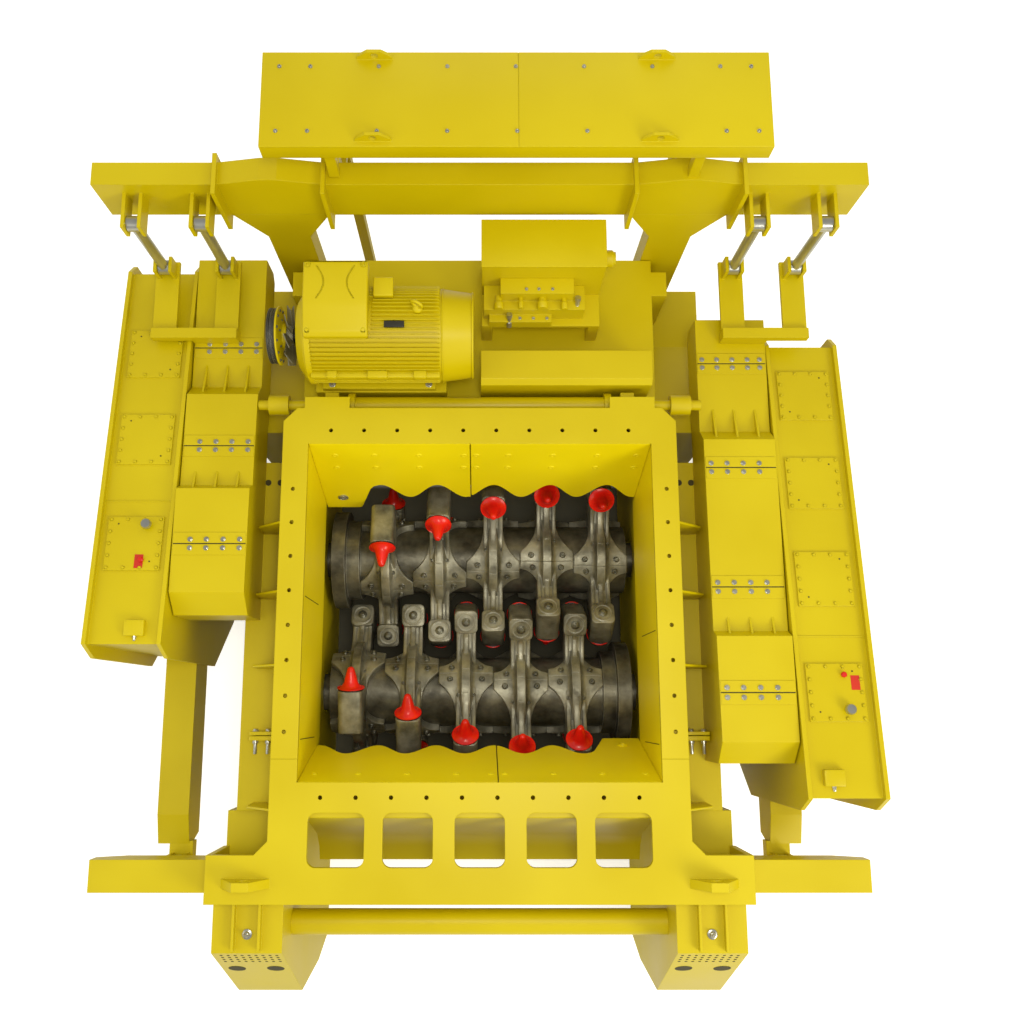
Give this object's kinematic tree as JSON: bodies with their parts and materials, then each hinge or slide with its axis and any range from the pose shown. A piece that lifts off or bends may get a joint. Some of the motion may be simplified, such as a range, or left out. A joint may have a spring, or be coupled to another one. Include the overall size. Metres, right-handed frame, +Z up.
{
  "type": "double roll crusher",
  "caption": "Machine with two toothed rolls turning towards each other under an open bolted feed flange, with belt drives, gear casings, motor and service cabinet on a frame with feet.",
  "frame": {"origin": "on the ground under the middle of the whole machine's box", "axes": "+X to the right seen from the front deck, +Y to the rear towards the cabinet, +Z up"},
  "size_m": [5.5, 6.226, 3.88],
  "materials": {
    "yellow_paint": "gloss",
    "yellow_liner": "satin",
    "forged_steel": "satin",
    "cast_tooth_steel": "satin",
    "red_cap": "gloss",
    "dark_steel": "satin",
    "zinc_steel": "satin"
  },
  "bodies": {
    "root": {"cabinet": "yellow_paint", "cabinet_stand": "yellow_paint", "drive_platform": "yellow_paint", "feed_flange": "yellow_paint", "front_cross_tube": "yellow_paint", "front_deck": "yellow_paint", "front_liner": "yellow_liner", "front_struts": "zinc_steel", "front_wall": "yellow_paint", "hydraulic_unit": "yellow_paint", "left_belt_guard": "yellow_paint", "left_front_foot": "yellow_paint", "left_gear_case": "yellow_paint", "left_liner": "yellow_liner", "left_post": "yellow_paint", "left_rear_foot": "yellow_paint", "left_side_wall": "yellow_paint", "left_torque_arm": "yellow_paint", "motor": "yellow_paint", "motor_base": "yellow_paint", "motor_terminal_box": "yellow_paint", "outriggers": "yellow_paint", "rear_beam": "yellow_paint", "rear_liner": "yellow_liner", "rear_struts": "zinc_steel", "rear_wall": "yellow_paint", "right_belt_guard": "yellow_paint", "right_front_foot": "yellow_paint", "right_gear_case": "yellow_paint", "right_liner": "yellow_liner", "right_post": "yellow_paint", "right_rear_foot": "yellow_paint", "right_side_wall": "yellow_paint", "right_torque_arm": "yellow_paint", "shaft_bearings": "forged_steel", "shaft_carriers": "yellow_paint", "shaft_cover": "yellow_paint", "strut_brackets": "yellow_paint", "unit_stand": "yellow_paint", "valve_block": "yellow_paint"},
    "rear_roll": {"rear_roll_hub": "forged_steel", "rear_roll_teeth": "cast_tooth_steel", "rear_roll_caps": "red_cap"},
    "front_roll": {"front_roll_hub": "forged_steel", "front_roll_teeth": "cast_tooth_steel", "front_roll_caps": "red_cap"},
    "motor_coupling": {"motor_coupling": "dark_steel"},
    "sync_shaft": {"sync_shaft": "yellow_paint"}
  },
  "joints": [
    {"name": "rear_roll_spin", "type": "hinge", "parent": "root", "child": "rear_roll", "pos_m": [0, 0.257, 0.95], "axis": [1, 0, 0], "continuous": true},
    {"name": "front_roll_spin", "type": "hinge", "parent": "root", "child": "front_roll", "pos_m": [0, -0.863, 0.95], "axis": [1, 0, 0], "continuous": true},
    {"name": "sync_shaft_spin", "type": "hinge", "parent": "root", "child": "sync_shaft", "pos_m": [0, 1.231, 2.29], "axis": [1, 0, 0], "continuous": true},
    {"name": "motor_coupling_spin", "type": "hinge", "parent": "root", "child": "motor_coupling", "pos_m": [-1.4, 1.641, 2.65], "axis": [1, 0, 0], "continuous": true}
  ],
  "couplings": [
    {"joint": "front_roll_spin", "follows": "rear_roll_spin", "ratio": -1},
    {"joint": "sync_shaft_spin", "follows": "rear_roll_spin", "ratio": 12},
    {"joint": "motor_coupling_spin", "follows": "rear_roll_spin", "ratio": 24}
  ]
}
